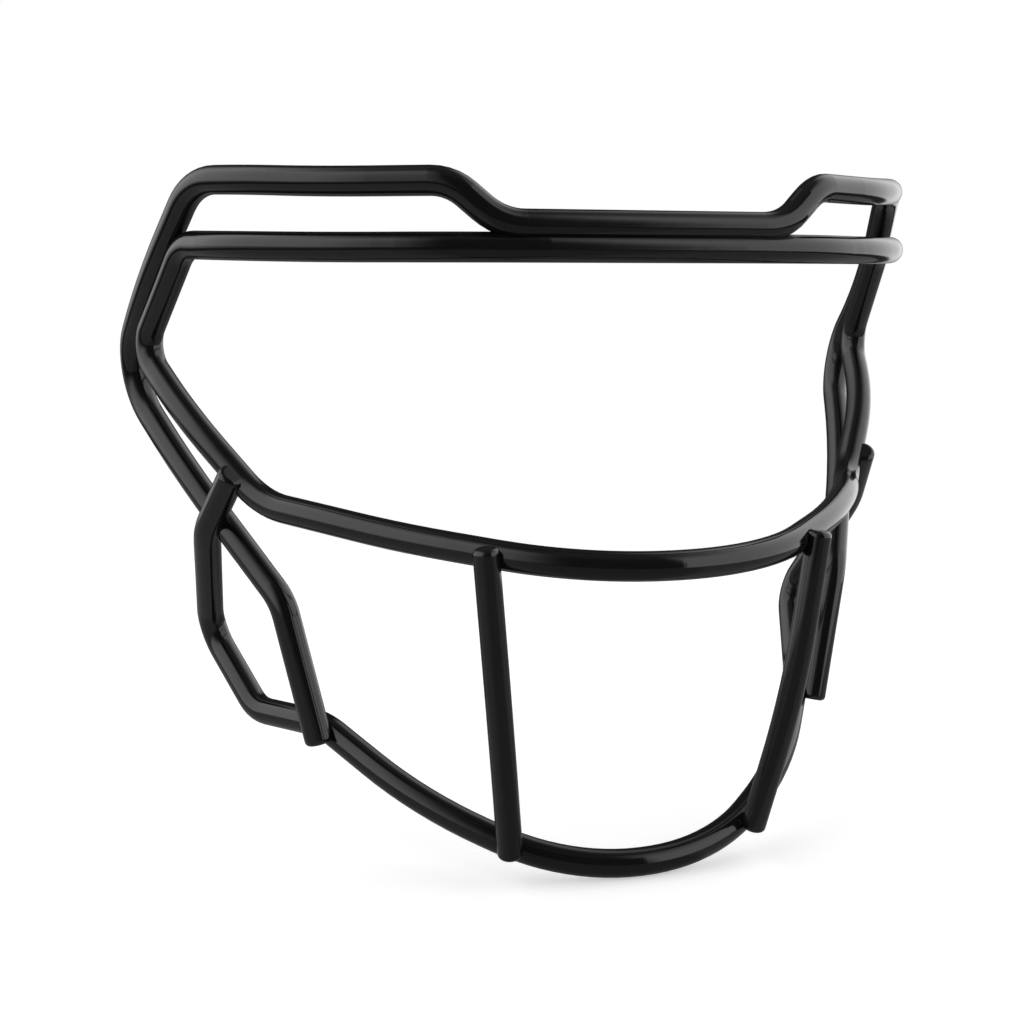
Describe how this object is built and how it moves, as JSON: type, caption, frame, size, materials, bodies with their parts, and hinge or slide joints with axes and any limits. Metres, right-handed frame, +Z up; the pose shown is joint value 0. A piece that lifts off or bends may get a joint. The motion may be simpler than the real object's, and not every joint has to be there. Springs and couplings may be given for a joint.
{
  "type": "football helmet facemask",
  "caption": "Bent and welded wire face guard for a football helmet, with a raised brow wire, an eye opening, a chin wire and upright mouth wires.",
  "frame": {"origin": "middle of the mask's overall box", "axes": "+Z up as worn, the front faces -Y, +X to the wearer's left"},
  "size_m": [0.2356, 0.1292, 0.1838],
  "materials": {
    "steel_wire": "drawn wire, hidden under the coating",
    "weld_metal": "as welded, hidden under the coating",
    "coating": "gloss black dip coat"
  },
  "bodies": {
    "root": {"eye_ring_wire": "steel_wire", "brow_side_wire": "steel_wire", "chin_jaw_wire": "steel_wire", "left_vertical_wire": "steel_wire", "right_vertical_wire": "steel_wire", "left_jaw_ring_weld": "weld_metal", "right_jaw_ring_weld": "weld_metal", "left_jaw_side_weld": "weld_metal", "right_jaw_side_weld": "weld_metal", "left_side_end_weld": "weld_metal", "right_side_end_weld": "weld_metal", "left_nose_bar_weld": "weld_metal", "right_nose_bar_weld": "weld_metal", "left_chin_weld": "weld_metal", "right_chin_weld": "weld_metal", "left_brow_weld": "weld_metal", "middle_brow_weld": "weld_metal", "right_brow_weld": "weld_metal", "eye_ring_coating": "coating", "brow_side_coating": "coating", "chin_jaw_coating": "coating", "left_vertical_coating": "coating", "right_vertical_coating": "coating"}
  },
  "joints": []
}
